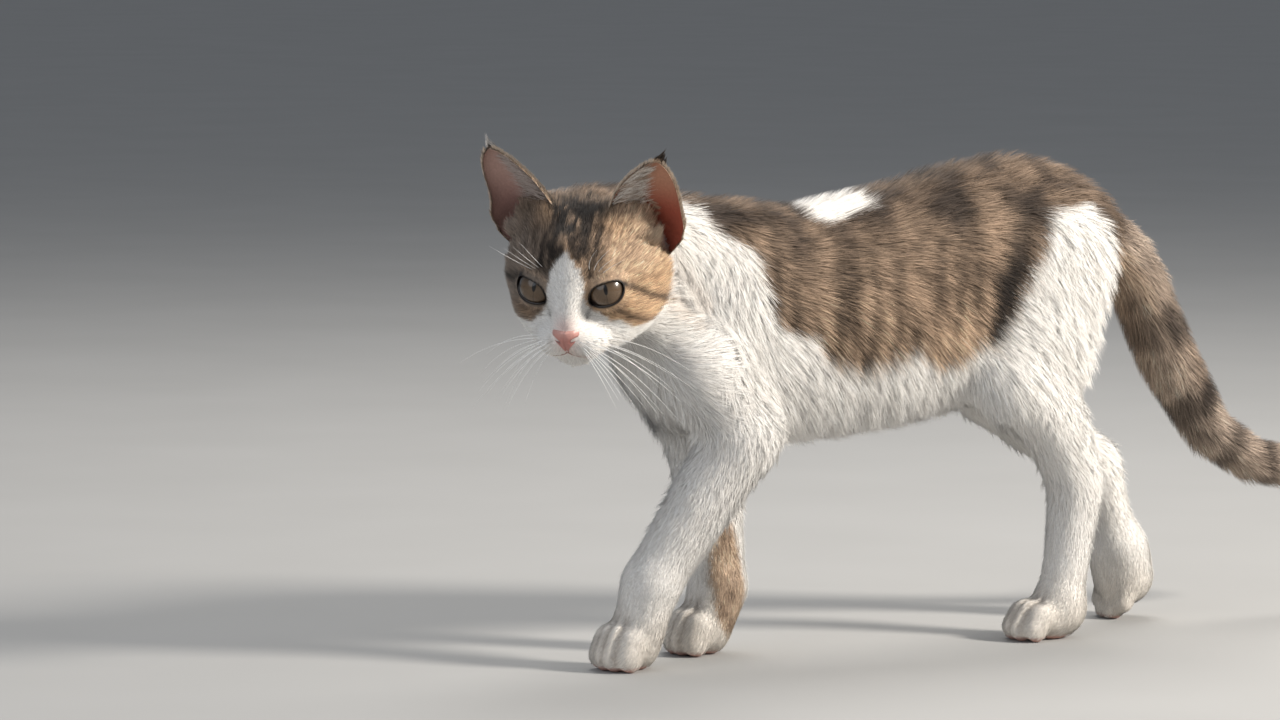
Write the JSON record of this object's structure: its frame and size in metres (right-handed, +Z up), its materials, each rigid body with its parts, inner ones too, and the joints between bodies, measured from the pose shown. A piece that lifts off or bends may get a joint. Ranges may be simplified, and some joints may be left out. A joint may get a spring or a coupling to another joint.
{
  "type": "cat",
  "caption": "Life-size young tabby-and-white short-haired cat in mid-walk, head lowered and turned to its left, tail down.",
  "frame": {"origin": "middle of the bounding box in X and Y, on the floor under the paws", "axes": "the cat walks towards -Y, +X is its left side, +Z is up"},
  "size_m": [0.1156, 0.5484, 0.2621],
  "materials": {
    "tabby_coat": "short brown tabby fur",
    "white_coat": "short white fur",
    "eye": "wet, glossy"
  },
  "bodies": {
    "root": {"head": "white_coat", "ear_left": "tabby_coat", "ear_right": "tabby_coat", "eye_left": "eye", "eye_right": "eye", "neck": "white_coat", "torso": "tabby_coat", "foreleg_left": "white_coat", "forepaw_left": "white_coat", "foreleg_right": "white_coat", "forepaw_right": "white_coat", "hindleg_left": "white_coat", "hindpaw_left": "white_coat", "hindleg_right": "white_coat", "hindpaw_right": "white_coat", "tail_root": "tabby_coat", "tail_middle": "tabby_coat", "tail_tip": "tabby_coat"}
  },
  "joints": []
}
